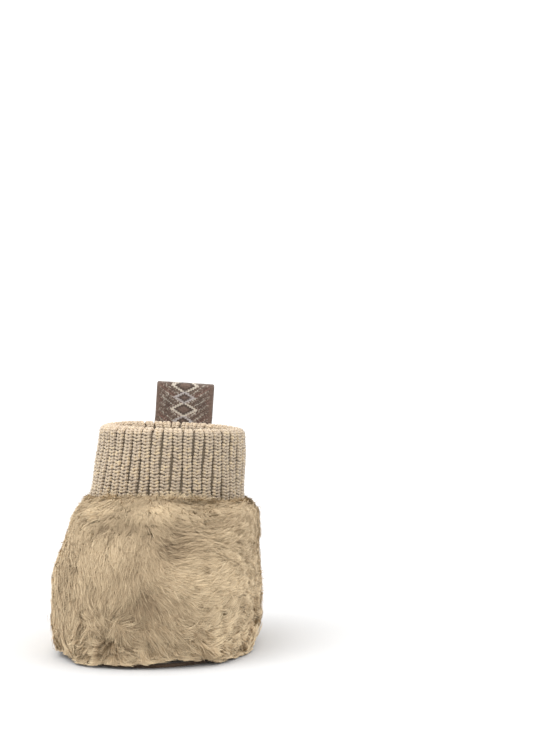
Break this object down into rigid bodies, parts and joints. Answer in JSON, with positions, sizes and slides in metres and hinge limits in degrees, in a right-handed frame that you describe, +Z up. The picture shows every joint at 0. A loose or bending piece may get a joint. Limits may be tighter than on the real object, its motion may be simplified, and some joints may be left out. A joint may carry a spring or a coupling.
{
  "type": "baby bootie",
  "caption": "Soft baby bootie: faux-fur upper of three panels over a fleece lining, folded rib-knit cuff, woven pull tab at the heel and a stitched suede sole.",
  "frame": {"origin": "on the floor, under the middle of the bootie's length and width", "axes": "+Z up, toe towards -Y, heel towards +Y, +X to the right as seen from the toe"},
  "size_m": [0.078, 0.12, 0.106],
  "materials": {
    "fur": "tan plush pile",
    "knit": "beige rib knit",
    "fleece": "cream short-pile fleece",
    "suede": "brown suede",
    "foam": "pale open-cell padding",
    "ribbon": "brown jacquard ribbon",
    "thread": "tan sewing thread",
    "satin": "white satin tape"
  },
  "bodies": {
    "bootie": {"fur_vamp": "fur", "fur_quarter_left": "fur", "fur_quarter_right": "fur", "lining_vamp": "fleece", "lining_quarter_left": "fleece", "lining_quarter_right": "fleece", "fur_seam_thread_left": "thread", "fur_seam_thread_right": "thread", "fur_seam_thread_heel": "thread", "lining_seam_thread_left": "thread", "lining_seam_thread_right": "thread", "lining_seam_thread_heel": "thread", "outsole": "suede", "outsole_stitching": "thread", "insole_foam": "foam", "insole_cover": "fleece", "rib_cuff": "knit", "ankle_seam_thread": "thread", "pull_tab_thread": "thread", "care_label": "satin"},
    "tab": {"pull_tab": "ribbon"}
  },
  "joints": [
    {"name": "tab_flex", "type": "hinge", "parent": "bootie", "child": "tab", "pos_m": [0, 0.0538, 0.061], "axis": [-1, 0, 0], "range_deg": [0, 80], "stiffness_Nm_per_rad": 0.002}
  ]
}
